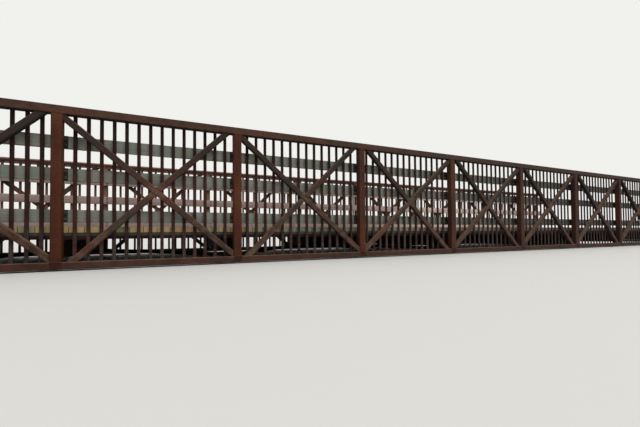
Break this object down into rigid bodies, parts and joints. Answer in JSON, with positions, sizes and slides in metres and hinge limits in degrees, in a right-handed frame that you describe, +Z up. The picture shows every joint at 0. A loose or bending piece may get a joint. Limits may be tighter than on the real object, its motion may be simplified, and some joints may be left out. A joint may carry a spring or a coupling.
{
  "type": "pony truss footbridge",
  "caption": "Straight pony-truss footbridge: rust-brown steel trusses with crossed diagonals and picket panels, grey timber rails inside, plank deck on steel floor beams.",
  "frame": {"origin": "centre of the bounding box in plan, on the underside of the bearing plates", "axes": "+X along the bridge, +Y across it towards the back truss, +Z up"},
  "size_m": [19.152, 3.492, 1.772],
  "materials": {
    "weathering_steel": "matt rust patina",
    "picket_steel": "matt rust patina",
    "cleat_steel": "matt dark",
    "deck_steel": "matt dark rust",
    "bearing_steel": "matt rust patina",
    "rail_timber": "weathered grey-green, rough",
    "deck_timber": "weathered, rough",
    "nailer_timber": "damp and dark, rough"
  },
  "bodies": {
    "root": {"front_top_chord": "weathering_steel", "front_bottom_chord": "weathering_steel", "front_posts": "weathering_steel", "front_rising_diagonals": "weathering_steel", "front_falling_diagonals": "weathering_steel", "front_pickets_1": "picket_steel", "front_pickets_2": "picket_steel", "front_pickets_3": "picket_steel", "front_pickets_4": "picket_steel", "front_pickets_5": "picket_steel", "front_pickets_6": "picket_steel", "front_pickets_7": "picket_steel", "front_pickets_8": "picket_steel", "front_pickets_9": "picket_steel", "front_pickets_10": "picket_steel", "front_upper_rail": "rail_timber", "front_middle_rail": "rail_timber", "front_kick_board": "rail_timber", "front_cleat_blocks": "cleat_steel", "front_cleat_plates": "cleat_steel", "back_top_chord": "weathering_steel", "back_bottom_chord": "weathering_steel", "back_posts": "weathering_steel", "back_rising_diagonals": "weathering_steel", "back_falling_diagonals": "weathering_steel", "back_pickets_1": "picket_steel", "back_pickets_2": "picket_steel", "back_pickets_3": "picket_steel", "back_pickets_4": "picket_steel", "back_pickets_5": "picket_steel", "back_pickets_6": "picket_steel", "back_pickets_7": "picket_steel", "back_pickets_8": "picket_steel", "back_pickets_9": "picket_steel", "back_pickets_10": "picket_steel", "back_upper_rail": "rail_timber", "back_middle_rail": "rail_timber", "back_kick_board": "rail_timber", "back_cleat_blocks": "cleat_steel", "back_cleat_plates": "cleat_steel", "deck_planks": "deck_timber", "nailers": "nailer_timber", "stringers": "deck_steel", "floor_beams": "deck_steel", "wind_braces": "deck_steel", "bearing_plates": "bearing_steel"}
  },
  "joints": []
}
